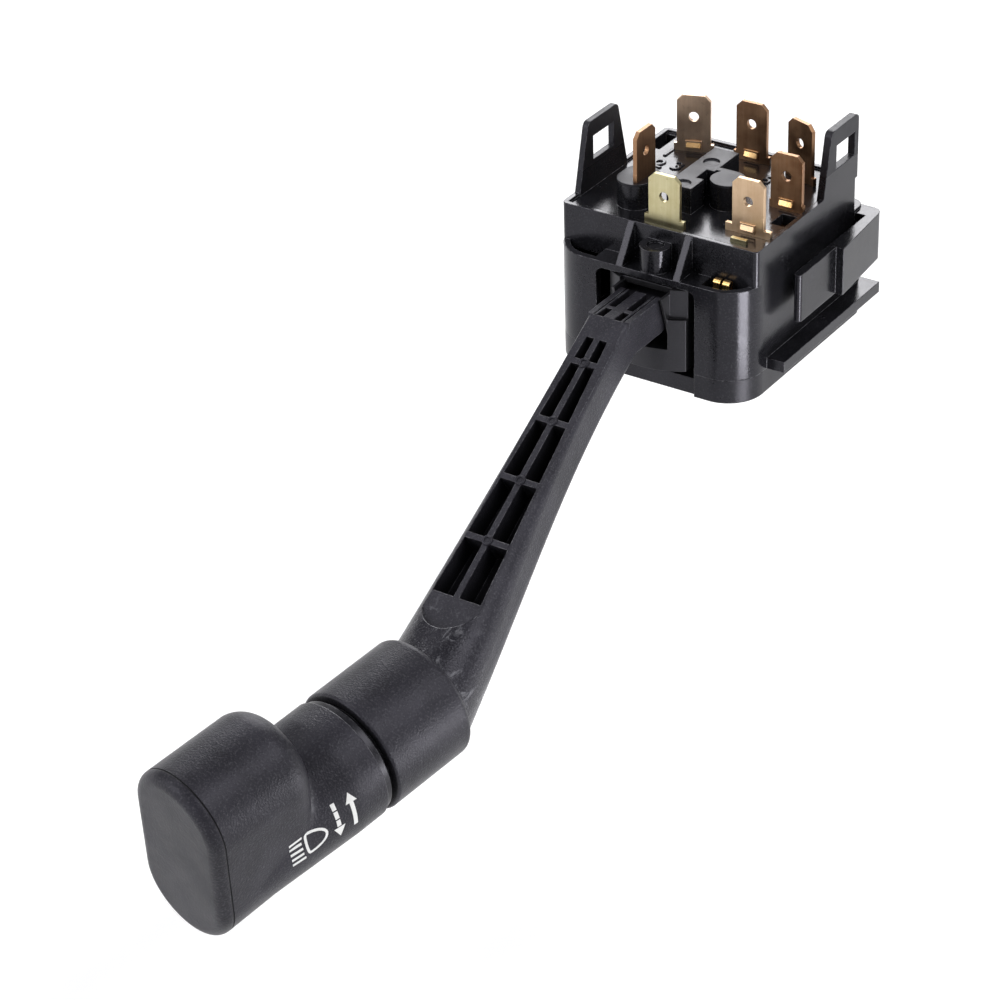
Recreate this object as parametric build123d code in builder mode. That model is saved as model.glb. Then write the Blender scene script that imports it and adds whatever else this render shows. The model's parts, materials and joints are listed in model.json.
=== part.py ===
from build123d import *
import math
import os

os.makedirs("parts", exist_ok=True)

# Steering column stalk switch for turn signals and headlamp dip.
# Origin: centre of the base's underside. X runs across, the lever leaves towards -Y,
# the blade terminals stand up along +Z. All sizes are in millimetres.

# Base housing, overall
base_width = 40.0
base_depth = 44.5
ledge_height = 22.0
deck_height = 29.0
front_ledge = 4.5
back_ledge = 3.6
wall = 1.6
deck_plate = 2.0
ledge_plate = 1.3
front_corner = 7.0
back_corner = 2.5
deck_corner = 1.0
rim_width = 0.9
rim_height = 0.5
cover_height = 4.5
floor_plate = 1.6

# Clearances
part_fit = 0.05
running_fit = 0.05
sliding_fit = 0.10
body_gap = 0.30

# Front opening for the lever
opening_width = 20.2
opening_sill = 3.2
opening_corner = 1.5
sill_setback = 0.8

# Turn axis, upright, and dip axis, across the base
turn_x = 0.5
turn_setback = 2.85
dip_setback = 5.8
dip_height = 15.2

# Ledge boss, ledge ribs and ledge windows
boss_radius = 2.85
boss_height = 4.5
boss_dimple_radius = 1.6
boss_dimple_depth = 0.4
trunnion_radius = 1.5
trunnion_length = 4.0
lower_trunnion_length = 3.0
bearing_depth = 1.9
bearing_block_depth = 5.5
lip_opening = 5.25
lip_thickness = 1.0
lip_rise = 2.0
rib_spacing = 11.7
rib_thickness = 1.3
ledge_window_start = 10.8
ledge_window_wall = 1.2

# Latch ears on the deck
left_ear_thickness = 1.15
right_ear_thickness = 1.4
left_ear_height = 12.6
right_ear_height = 12.1
ear_corner = 1.2
ear_window_width = 6.9
ear_window_height = 4.6
left_window_sill = 4.9
right_window_sill = 4.3
right_window_margin = 1.3
left_ear_setback = 4.4
left_ear_base = 16.3
left_ear_top = 10.0
right_ear_base = 12.7
right_ear_top = 10.1

# Guide rails and snap tongues on the sides
rail_reach = 3.5
rail_thickness = 2.1
right_rail_length = 35.7
left_rail_length = 27.7
rail_back = 0.3
tongue_gap = 2.2
tongue_thickness = 1.5
tongue_catch = 1.5
tongue_length = 30.5
tongue_height = 9.2
tongue_root = 3.7
tongue_drop = 0.5
tongue_setback = 0.5
tongue_flare = 0.1
tongue_corner = 2.0
catch_setback = 17.5

# Pedestals and raised block on the deck
pedestal_height = 5.0
oval_pedestal_x = -9.0
oval_pedestal_width = 6.6
oval_pedestal_setback = 4.0
oval_pedestal_length = 8.6
round_pedestal_x = 5.5
round_pedestal_y = -2.75
round_pedestal_radius = 3.2
block_x = -0.5
block_y = -1.25
block_width = 5.0
block_length = 17.0
web_length = 6.0
web_thickness = 1.2
web_offset = 2.6
notch_width = 1.6
notch_length = 3.8
notch_inset = 1.7
notch_setback = 0.6
mark_radius = 1.5
mark_depth = 0.3
mark_front = -8.25
mark_back = 1.75
right_deck_slot_width = 3.0
right_deck_slot_length = 4.4
right_deck_slot_inset = 2.7
right_deck_slot_y = -3.5
left_deck_slot_width = 2.4
left_deck_slot_length = 6.4
left_deck_slot_inset = 2.1
left_deck_slot_y = 13.8

# Blade terminals, 6.3 x 0.8 mm tabs
blade_width = 6.3
blade_thickness = 0.8
blade_chamfer = 1.1
blade_hole_radius = 0.95
blade_hole_drop = 4.2
leg_width = 4.0
foot_length = 5.0
foot_gap = 0.1
turn_foot_drop = 1.6
shoulder_height = 1.5
lance_width = 3.0
lance_height = 1.7
lance_depth = 0.25
lance_rise = 1.35

# Turn carrier
carrier_width = 16.0
carrier_bottom = 4.7
carrier_crown = 2.4
carrier_stand = 0.15
carrier_back_wall = 3.3
slot_clearance = 0.9
slot_drop = 6.2
carrier_bridge = 1.1
carrier_step_height = 14.9
carrier_step = 0.8
cheek_thickness = 0.5
cheek_bottom = 10.6
cheek_top = 19.7
cheek_foot = 0.3
cheek_reach = 3.4
cheek_root = 1.4
bridge_front = 2.8
bridge_back = 2.8
finger_room_drop = 0.3
finger_room_wall = 1.6
arm_width = 9.0
arm_bottom = 7.0
contact_stack = 4.0
arm_depth = 7.0
riser_depth = 7.5
turn_range = 12.0

# Turn detent
turn_plunger_radius = 2.0
turn_plunger_length = 9.0
turn_plunger_stroke = 0.9
turn_plunger_height = 10.0
turn_tip_radius = 1.2
turn_plunger_stand = 2.5
cam_width = 22.0
cam_thickness = 5.6
cam_web = 3.25
notch_height = 4.6
notch_clearance = 0.4
plunger_bore_depth = 12.5

# Dip pivot and dip detent
dip_pin_radius = 1.5
dip_pin_inset = 0.2
dip_pin_chamfer = 0.2
dip_range = 7.0
dip_plunger_radius = 1.3
dip_plunger_length = 4.4
dip_plunger_stroke = 0.7
dip_tip_radius = 1.0
dip_plunger_stand = 2.4
nose_length = 1.2
dip_bore_depth = 4.4

# Lever bar
bar_width = 8.4
bar_rise = 3.95
bar_depth = 6.75
bar_length = 10.9
bar_round = 1.2
groove_spacing = 3.5
groove_width = 1.4
groove_depth = 1.6
groove_web = 0.9
groove_web_setback = 3.6
line_inset = 1.2
line_width = 0.35
line_depth = 0.3
tail_depth = 5.2
tail_reach = 6.6

# Sloping lever arm with its ribbed pockets
arm_slope = 31.8
first_rib_y = -43.2
first_rib_z = 14.13
rib_pitch = 12.2
rib_count = 4
pocket_start = 5.0
pocket_end = 48.0
pocket_start_width = 4.2
pocket_end_width = 9.8
pocket_depth = 5.0
pocket_rib = 1.1
pad_length = 6.8
pad_width = 11.2
pad_overrun = 4.0
crossing_radius = 1.0
mid_along = 24.0
mid_width = 10.4
mid_depth = 9.8
mid_round = 2.6
mid_crown = 0.5
far_along = 48.0
far_shift = 0.3
far_width = 14.7
far_depth = 12.6
far_round = 5.0
far_crown = 0.8
neck_shift = 0.7
neck_radius = 9.5
neck_flat = 0.2

# Knob, along its own axis
knob_x = 1.01
knob_y = -94.99
knob_z = -24.22
knob_yaw = 11.5
knob_drop = 9.2
collar_length = 17.35
collar_radius = 11.35
knob_groove = 2.3
collar_back_round = 1.2
collar_front_round = 0.5
ring_hub_radius = 9.6
ring_radius = 10.7
ring_thickness = 1.3
grip_radius = 11.2
grip_end = 51.85
paddle_start = 31.85
paddle_tilt = 9.4
paddle_shift = -0.16
paddle_rise = 4.64
paddle_width = 19.3
paddle_reach = 15.5
paddle_root_width = 20.4
paddle_root_reach = 12.8
paddle_back_round = 4.5
grip_taper_start = 25.05
grip_toe_radius = 9.2
cap_thickness = 2.2
cap_edge = 2.0
spigot_root = 1.0
spigot_radius = 7.0
spigot_length = 24.0
grip_bore_depth = 26.5
plug_width = 11.0
plug_depth = 4.0

# Contact strip at the deck and contact leaf at the ledge
strip_inset = 5.25
strip_setback = 2.9
strip_width = 3.1
strip_stand = 0.8
leaf_seat = 0.5
leaf_width = 3.2
leaf_height = 9.0
leaf_setback = 1.45
leaf_offset = 1.4
leaf_thickness = 0.5
leaf_crest = 2.0
leaf_hook = 1.1
leaf_slit = 0.5
leaf_slit_depth = 3.0
leaf_rib_width = 1.5
leaf_rib_margin = 0.6

# Turn contact bridge on the carrier's arm
stud_radius = 1.2
stud_length = 6.0
stud_bore_depth = 5.0
contact_width = 12.0
contact_depth = 6.0
contact_plate = 0.8
contact_dome_inset = 1.2
contact_dome_taper = 25.0
contact_dome_radius = 1.0
contact_dome_height = 0.5

# Springs
spring_wire = 0.5
spring_pitch = 1.5
spring_clearance = 0.2

# Beam rocker under the deck
rocker_setback = 7.4
rocker_drop = 2.8
rocker_width = 12.0
rocker_hub_radius = 1.8
rocker_plate = 1.2
rocker_left = 10.5
rocker_right = 14.0
rocker_rear = 6.5
rocker_wing = 4.0
rocker_pin_radius = 0.8
finger_width = 2.4
finger_thickness = 2.2
finger_setback = 3.7
lug_width = 1.5
lug_depth = 3.0
lug_drop = 1.4
bridge_inset = 0.5
bridge_plate = 0.5
bridge_depth = 1.5
bridge_setback = 3.95

# Self-cancelling pawl at the back
pawl_pin_radius = 0.9
pawl_height = 15.2
pawl_thickness = 3.0
pawl_eye_radius = 2.6
pawl_nose_radius = 1.5
pawl_reach = 7.2
pawl_setback = 0.35
pawl_pin_seat = 2.1
pawl_pin_head = 0.5
pawl_slot_width = 11.0

# Places worked out from the sizes above
front_y = -base_depth / 2
back_y = base_depth / 2
deck_front_y = front_y + front_ledge
deck_back_y = back_y - back_ledge
deck_depth = deck_back_y - deck_front_y
deck_y = (deck_front_y + deck_back_y) / 2
deck_floor = deck_height - rim_height
deck_ceiling = deck_floor - deck_plate
ledge_ceiling = ledge_height - ledge_plate
cavity_width = base_width - 2 * wall
turn_y = front_y + turn_setback
dip_y = turn_y + dip_setback
pedestal_top = deck_floor + pedestal_height
oval_pedestal_front = deck_front_y + oval_pedestal_setback
left_ear_front = deck_front_y + left_ear_setback
beam_foot_height = deck_ceiling - blade_thickness - foot_gap
turn_foot_height = beam_foot_height - turn_foot_drop
rocker_y = turn_y + rocker_setback
rocker_height = beam_foot_height - rocker_drop
pawl_y = back_y - wall - pawl_eye_radius + pawl_setback
cam_top = pawl_height - body_gap
lip_inset = wall + part_fit + lip_thickness
cam_back = back_y - lip_inset - part_fit
turn_tip_y = cam_back - cam_web - body_gap
turn_tip_reach = turn_tip_y - turn_y
arm_end = turn_tip_y - turn_plunger_stand
arm_top = turn_foot_height - contact_stack
dip_tip_reach = tail_reach + dip_plunger_stand
dip_tip_y = dip_y + dip_tip_reach
track_radius = dip_tip_reach + body_gap
carrier_front = front_y - carrier_stand
carrier_back = dip_y + track_radius + carrier_back_wall
carrier_top = ledge_ceiling - body_gap
slot_width = bar_width + 2 * slot_clearance
slot_floor = dip_height - slot_drop
slot_roof = carrier_top - carrier_bridge
bar_top = dip_height + bar_rise
bar_bottom = bar_top - bar_depth
tail_top = dip_height + tail_depth / 2
tail_bottom = dip_height - tail_depth / 2
strip_x = base_width / 2 - strip_inset
strip_y = deck_front_y + strip_setback
leaf_front = front_y + wall + leaf_setback
leaf_left = ledge_window_start + leaf_offset
leaf_top = ledge_ceiling + leaf_crest

# Terminals: place of each blade on the deck, and the blade's angle about Z
terminals = {
    "terminal_left_turn": ((turn_x - 11.35, deck_back_y - 5.45), 19.0),
    "terminal_flasher_feed": ((turn_x - 0.1, deck_back_y - 3.75), 0.0),
    "terminal_right_turn": ((turn_x + 11.35, deck_back_y - 6.25), -19.0),
    "terminal_main_beam": ((base_width / 2 - 4.35, 0.55), 0.0),
    "terminal_dipped_beam": ((base_width / 2 - 5.4, deck_front_y + 6.5), 0.0),
    "terminal_flash_feed": ((turn_x - 0.4, deck_front_y + 2.35), 0.0),
    "terminal_lamp_feed": ((oval_pedestal_x + 1.2, oval_pedestal_front + 4.4), 90.0),
}
terminal_places = list(terminals.values())

def base_outline(inset):
    """Footprint of the base: large radii at the front corners, small ones behind."""
    Rectangle(base_width - 2 * inset, base_depth - 2 * inset)
    fillet(vertices().group_by(Axis.Y)[0], front_corner - inset)
    fillet(vertices().group_by(Axis.Y)[-1], max(back_corner - inset, 0.5))


# Housing: one moulding with the deck, ledges, latch ears, rails and snap tongues
with BuildPart() as housing:
    with BuildSketch(Plane.XY.offset(cover_height)):
        base_outline(0)
    extrude(amount=ledge_height - cover_height)
    with BuildSketch(Plane.XY.offset(ledge_height)):
        with Locations((0, deck_y)):
            Rectangle(base_width, deck_depth)
        fillet(vertices(), deck_corner)
    extrude(amount=deck_height - ledge_height)
    # Rim round the deck
    with BuildSketch(Plane.XY.offset(deck_floor)):
        with Locations((0, deck_y)):
            Rectangle(base_width - 2 * rim_width, deck_depth - 2 * rim_width)
    extrude(amount=rim_height, mode=Mode.SUBTRACT)
    # Cavity, open below, in two storeys
    with BuildSketch(Plane.XY.offset(cover_height)):
        base_outline(wall)
    extrude(amount=ledge_ceiling - cover_height, mode=Mode.SUBTRACT)
    with BuildSketch(Plane.XY.offset(cover_height)):
        with Locations((0, deck_y)):
            Rectangle(cavity_width, deck_depth - 2 * wall)
    extrude(amount=deck_ceiling - cover_height, mode=Mode.SUBTRACT)
    # Front opening
    with BuildSketch(Plane.XZ.offset(-front_y)):
        with Locations((0, (cover_height + ledge_ceiling) / 2)):
            Rectangle(opening_width, ledge_ceiling - cover_height)
        fillet(vertices().group_by(Axis.Y)[-1], opening_corner)
    extrude(amount=-2 * wall, mode=Mode.SUBTRACT)
    # Boss over the turn pivot, with its shallow dimple
    with BuildSketch(Plane.XY.offset(ledge_ceiling)):
        with Locations((turn_x, turn_y)):
            Circle(boss_radius)
    extrude(amount=ledge_plate + boss_height)
    with BuildSketch(Plane.XY.offset(ledge_height + boss_height)):
        with Locations((turn_x, turn_y)):
            Circle(boss_dimple_radius)
    extrude(amount=-boss_dimple_depth, mode=Mode.SUBTRACT)
    # Slanted ribs either side of the boss
    with BuildSketch(Plane.YZ.offset(turn_x - rib_spacing / 2 - rib_thickness / 2)) as rib_profile:
        with BuildLine():
            Polyline(
                (deck_front_y, ledge_height),
                (front_y, ledge_height),
                (deck_front_y, deck_height),
                close=True,
            )
        make_face()
    extrude(amount=rib_thickness)
    with BuildSketch(Plane.YZ.offset(turn_x + rib_spacing / 2 - rib_thickness / 2)):
        add(rib_profile.sketch_local)
    extrude(amount=rib_thickness)
    # Bore for the upper trunnion
    with BuildSketch(Plane.XY.offset(ledge_ceiling)):
        with Locations((turn_x, turn_y)):
            Circle(trunnion_radius + running_fit)
    extrude(amount=trunnion_length, mode=Mode.SUBTRACT)
    # Windows in the front ledge, as wide as the corners leave room for
    with BuildSketch(Plane.XY.offset(ledge_ceiling)):
        base_outline(ledge_window_wall)
        with Locations((0, base_depth / 2)):
            Rectangle(base_width, 2 * (base_depth / 2 - deck_front_y), mode=Mode.SUBTRACT)
        Rectangle(2 * ledge_window_start, base_depth, mode=Mode.SUBTRACT)
    extrude(amount=ledge_plate, mode=Mode.SUBTRACT)
    # Rib inside the right window that holds the contact leaf
    leaf_rib_end = leaf_front + leaf_thickness / 2 + leaf_rib_margin
    with BuildSketch(Plane.XY.offset(leaf_top - leaf_height)):
        with Locations((leaf_left - part_fit + leaf_seat - leaf_rib_width / 2, (front_y + leaf_rib_end) / 2)):
            Rectangle(leaf_rib_width, leaf_rib_end - front_y)
    extrude(amount=ledge_ceiling - leaf_top + leaf_height)
    with BuildSketch(Plane.XY.offset(leaf_top - leaf_height)):
        with Locations((leaf_left - part_fit + leaf_seat, leaf_front)):
            Rectangle(2 * leaf_seat, leaf_thickness + 2 * part_fit)
    extrude(amount=leaf_height, mode=Mode.SUBTRACT)
    # Pedestals and raised block
    with BuildSketch(Plane.XY.offset(deck_floor)):
        with Locations((oval_pedestal_x, oval_pedestal_front + oval_pedestal_length / 2)):
            SlotOverall(oval_pedestal_length, oval_pedestal_width, rotation=90)
        with Locations((round_pedestal_x, round_pedestal_y)):
            Circle(round_pedestal_radius)
        with Locations((block_x, block_y)):
            Rectangle(block_width, block_length)
        with Locations(((block_x + round_pedestal_x) / 2, round_pedestal_y + web_offset)):
            Rectangle(web_length, web_thickness)
    extrude(amount=pedestal_height)
    # Notch beside the raised block and the moulding marks on its top
    with BuildSketch(Plane.XY.offset(pedestal_top)):
        with Locations((block_x + notch_inset, round_pedestal_y - notch_setback)):
            Rectangle(notch_width, notch_length)
    extrude(amount=-pedestal_height, mode=Mode.SUBTRACT)
    with BuildSketch(Plane.XY.offset(pedestal_top)):
        with Locations((block_x, mark_front), (block_x, mark_back)):
            Circle(mark_radius)
    extrude(amount=-mark_depth, mode=Mode.SUBTRACT)
    # Openings in the deck plate
    with BuildSketch(Plane.XY.offset(deck_ceiling)):
        with Locations((base_width / 2 - right_deck_slot_inset, right_deck_slot_y)):
            Rectangle(right_deck_slot_width, right_deck_slot_length)
        with Locations((left_deck_slot_inset - base_width / 2, left_deck_slot_y)):
            Rectangle(left_deck_slot_width, left_deck_slot_length)
    extrude(amount=deck_plate, mode=Mode.SUBTRACT)
    # Left latch ear
    with BuildSketch(Plane.YZ.offset(-base_width / 2)):
        with BuildLine():
            ear_mid = left_ear_front + left_ear_base / 2
            Polyline(
                (left_ear_front, deck_floor),
                (left_ear_front + left_ear_base, deck_floor),
                (ear_mid + left_ear_top / 2, deck_height + left_ear_height),
                (ear_mid - left_ear_top / 2, deck_height + left_ear_height),
                close=True,
            )
        make_face()
        fillet(vertices().group_by(Axis.Y)[-1], ear_corner)
        with Locations((ear_mid, deck_height + left_window_sill + ear_window_height / 2)):
            Rectangle(ear_window_width, ear_window_height, mode=Mode.SUBTRACT)
    extrude(amount=left_ear_thickness)
    # Right latch ear
    with BuildSketch(Plane.YZ.offset(base_width / 2 - right_ear_thickness)):
        with BuildLine():
            Polyline(
                (deck_back_y - right_ear_base, deck_floor),
                (deck_back_y, deck_floor),
                (deck_back_y, deck_height + right_ear_height),
                (deck_back_y - right_ear_top, deck_height + right_ear_height),
                close=True,
            )
        make_face()
        fillet(vertices().group_by(Axis.Y)[-1], ear_corner)
        with Locations((deck_back_y - right_window_margin - ear_window_width / 2,
                        deck_height + right_window_sill + ear_window_height / 2)):
            Rectangle(ear_window_width, ear_window_height, mode=Mode.SUBTRACT)
    extrude(amount=right_ear_thickness)
    # Guide rails
    with BuildSketch(Plane.XY.offset(cover_height)):
        with Locations((base_width / 2, back_y - rail_back - right_rail_length / 2)):
            Rectangle(2 * rail_reach, right_rail_length)
        with Locations((-base_width / 2, back_y - rail_back - left_rail_length / 2)):
            Rectangle(2 * rail_reach, left_rail_length)
        Rectangle(base_width - wall, base_depth, mode=Mode.SUBTRACT)
    extrude(amount=rail_thickness)
    # Snap tongues, rooted at the back corners and free in front
    with BuildSketch(Plane.XY.offset(ledge_height - tongue_height - tongue_drop)):
        with BuildLine():
            root_x = base_width / 2
            plate_in = root_x + tongue_gap
            plate_out = plate_in + tongue_thickness
            tongue_end = back_y - tongue_setback
            tongue_tip = tongue_end - tongue_length
            Polyline(
                (root_x - wall / 2, tongue_end),
                (plate_out + tongue_flare, tongue_end),
                (plate_out + tongue_catch, tongue_end - catch_setback),
                (plate_out, tongue_end - catch_setback),
                (plate_out, tongue_tip),
                (plate_in, tongue_tip),
                (plate_in, tongue_end - tongue_root),
                (root_x - wall / 2, tongue_end - tongue_root),
                close=True,
            )
        make_face()
        fillet(vertices().group_by(Axis.Y)[0], tongue_thickness / 2 - part_fit)
        fillet(vertices().group_by(Axis.Y)[-1].sort_by(Axis.X)[-1], tongue_corner)
        mirror(about=Plane.YZ)
    extrude(amount=tongue_height)
    # Lugs under the deck that hold the beam rocker's pin
    with BuildSketch(Plane.XY.offset(rocker_height - lug_drop)):
        with Locations((turn_x, rocker_y)):
            with GridLocations(rocker_width + 2 * body_gap + lug_width, 0, 2, 1):
                Rectangle(lug_width, lug_depth)
    extrude(amount=deck_ceiling - rocker_height + lug_drop)
    with BuildSketch(Plane.YZ.offset(turn_x)):
        with Locations((rocker_y, rocker_height)):
            Circle(rocker_pin_radius + part_fit)
    extrude(amount=rocker_width, both=True, mode=Mode.SUBTRACT)
    # Slot in the back wall for the cancelling pawl
    with BuildSketch(Plane.XZ.offset(-back_y)):
        with Locations((turn_x, pawl_height + pawl_thickness / 2)):
            Rectangle(pawl_slot_width, pawl_thickness + 2 * body_gap)
    extrude(amount=2 * wall, both=True, mode=Mode.SUBTRACT)
    with BuildSketch(Plane.XY.offset(ledge_ceiling)):
        with Locations((turn_x, pawl_y)):
            Circle(pawl_pin_radius + part_fit)
    extrude(amount=pawl_pin_head + part_fit, mode=Mode.SUBTRACT)
    # Slots that the terminals stand in
    for place, angle in terminal_places:
        with BuildSketch(Plane.XY.offset(deck_ceiling)):
            with Locations(Location((place[0], place[1], 0), (0, 0, angle))):
                Rectangle(leg_width + 2 * part_fit, blade_thickness + 2 * part_fit)
        extrude(amount=deck_plate + pedestal_height, mode=Mode.SUBTRACT)
    # Slot for the contact strip that ends at the deck
    with BuildSketch(Plane.XY.offset(deck_ceiling)):
        with Locations((strip_x, strip_y)):
            Rectangle(strip_width + 2 * part_fit, blade_thickness + 2 * part_fit)
    extrude(amount=deck_plate, mode=Mode.SUBTRACT)
housing.part.label = "housing"
export_step(housing.part, "parts/housing.step")

# Base cover: shallow tray with the lower bearing and a sill under the lever
with BuildPart() as base_cover:
    with BuildSketch(Plane.XY):
        base_outline(0)
    extrude(amount=cover_height)
    with BuildSketch(Plane.XY.offset(floor_plate)):
        base_outline(wall)
    extrude(amount=cover_height, mode=Mode.SUBTRACT)
    # Locating lip inside the housing wall
    with BuildSketch(Plane.XY.offset(floor_plate)):
        base_outline(wall + part_fit)
        Rectangle(base_width - 2 * lip_inset, base_depth - 2 * lip_inset, mode=Mode.SUBTRACT)
        with Locations((0, front_y)):
            Rectangle(base_width, 2 * lip_opening, mode=Mode.SUBTRACT)
    extrude(amount=cover_height - floor_plate + lip_rise)
    # Sill across the front opening
    with BuildSketch(Plane.XY.offset(opening_sill)):
        with Locations((0, front_y + wall / 2)):
            Rectangle(opening_width, 2 * wall)
    extrude(amount=cover_height, mode=Mode.SUBTRACT)
    with BuildSketch(Plane.XY):
        with Locations((0, front_y)):
            Rectangle(opening_width, 2 * sill_setback)
    extrude(amount=cover_height, mode=Mode.SUBTRACT)
    # Block with the bearing for the lower trunnion
    with BuildSketch(Plane.XY.offset(floor_plate)):
        with Locations((0, front_y + sill_setback + bearing_block_depth / 2)):
            Rectangle(opening_width, bearing_block_depth)
    extrude(amount=opening_sill - floor_plate)
    with BuildSketch(Plane.XY.offset(opening_sill)):
        with Locations((turn_x, turn_y)):
            Circle(trunnion_radius + running_fit)
    extrude(amount=-bearing_depth, mode=Mode.SUBTRACT)
base_cover.part.label = "base_cover"
export_step(base_cover.part, "parts/base_cover.step")


def blade(name, place, angle, seat, stand, shoulder, foot, foot_height):
    """A tab terminal: chamfered blade with a locking hole, shoulders, leg and a foot inside."""
    upright = Plane(origin=(place[0], place[1], 0), x_dir=Vector(1, 0, 0).rotate(Axis.Z, angle),
                    z_dir=Vector(0, -1, 0).rotate(Axis.Z, angle))
    level = Plane(origin=(place[0], place[1], foot_height), x_dir=Vector(1, 0, 0).rotate(Axis.Z, angle),
                  z_dir=(0, 0, 1))
    top = seat + stand
    with BuildPart() as tab:
        with BuildSketch(upright):
            with Locations((0, (seat + top) / 2)):
                Rectangle(blade_width, top - seat)
            chamfer(vertices().group_by(Axis.Y)[-1], blade_chamfer)
            with Locations((0, seat + shoulder_height / 2)):
                Rectangle(shoulder, shoulder_height)
            with Locations((0, (seat + foot_height) / 2)):
                Rectangle(leg_width, seat - foot_height)
            with Locations((0, top - blade_hole_drop)):
                Circle(blade_hole_radius, mode=Mode.SUBTRACT)
        extrude(amount=blade_thickness / 2, both=True)
        if name in lanced:
            with BuildSketch(upright.offset(blade_thickness / 2)):
                with Locations((0, seat + lance_rise)):
                    Rectangle(lance_width, lance_height)
            extrude(amount=lance_depth)
        with BuildSketch(level):
            with Locations((0, foot * foot_length / 2)):
                Rectangle(leg_width, foot_length)
        extrude(amount=blade_thickness)
    tab.part.label = name
    export_step(tab.part, f"parts/{name}.step")


# Each blade's seat, its stand above it, its shoulder's width, its foot's side and its foot's height
blade_rows = {
    "terminal_left_turn": (deck_floor, 11.2, 7.4, -1, turn_foot_height),
    "terminal_flasher_feed": (deck_floor, 11.6, 7.4, -1, turn_foot_height),
    "terminal_right_turn": (deck_floor, 11.5, 7.4, -1, turn_foot_height),
    "terminal_main_beam": (deck_floor, 10.85, 6.8, -1, beam_foot_height),
    "terminal_dipped_beam": (deck_floor, 10.65, 9.0, 1, beam_foot_height),
    "terminal_flash_feed": (deck_floor, 9.7, 8.0, 1, beam_foot_height),
    "terminal_lamp_feed": (pedestal_top, 9.4, 6.4, 1, beam_foot_height),
}
# The blades with a raised lance at their shoulders
lanced = (
    "terminal_left_turn",
    "terminal_flasher_feed",
    "terminal_right_turn",
    "terminal_main_beam",
    "terminal_dipped_beam",
)
for name, (place, angle) in terminals.items():
    seat, stand, shoulder, foot, foot_height = blade_rows[name]
    blade(name, place, angle, seat, stand, shoulder, foot, foot_height)


# Contact strip whose end shows at the deck
with BuildPart() as contact_strip:
    with BuildSketch(Plane.XY.offset(turn_foot_height)):
        with Locations((strip_x, strip_y)):
            Rectangle(strip_width, blade_thickness)
    extrude(amount=deck_floor + strip_stand - turn_foot_height)
contact_strip.part.label = "contact_strip"
export_step(contact_strip.part, "parts/contact_strip.step")

# Sprung contact leaf under the right ledge window, split into two fingers
with BuildPart() as contact_leaf:
    with BuildSketch(Plane.YZ.offset(leaf_left)):
        with BuildLine():
            FilletPolyline(
                (leaf_front, leaf_top - leaf_height),
                (leaf_front, leaf_top - leaf_thickness / 2),
                (leaf_front + leaf_hook, leaf_top - leaf_thickness / 2),
                (leaf_front + leaf_hook, leaf_top - 2 * leaf_hook),
                radius=leaf_hook / 2 - leaf_thickness / 4,
            )
            offset(amount=leaf_thickness / 2, side=Side.BOTH)
        make_face()
    extrude(amount=leaf_width)
    with BuildSketch(Plane.XY.offset(leaf_top)):
        with Locations((leaf_left + leaf_width / 2, leaf_front + leaf_hook / 2)):
            Rectangle(leaf_slit, 2 * leaf_hook)
    extrude(amount=-leaf_slit_depth, mode=Mode.SUBTRACT)
contact_leaf.part.label = "contact_leaf"
export_step(contact_leaf.part, "parts/contact_leaf.step")


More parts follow.
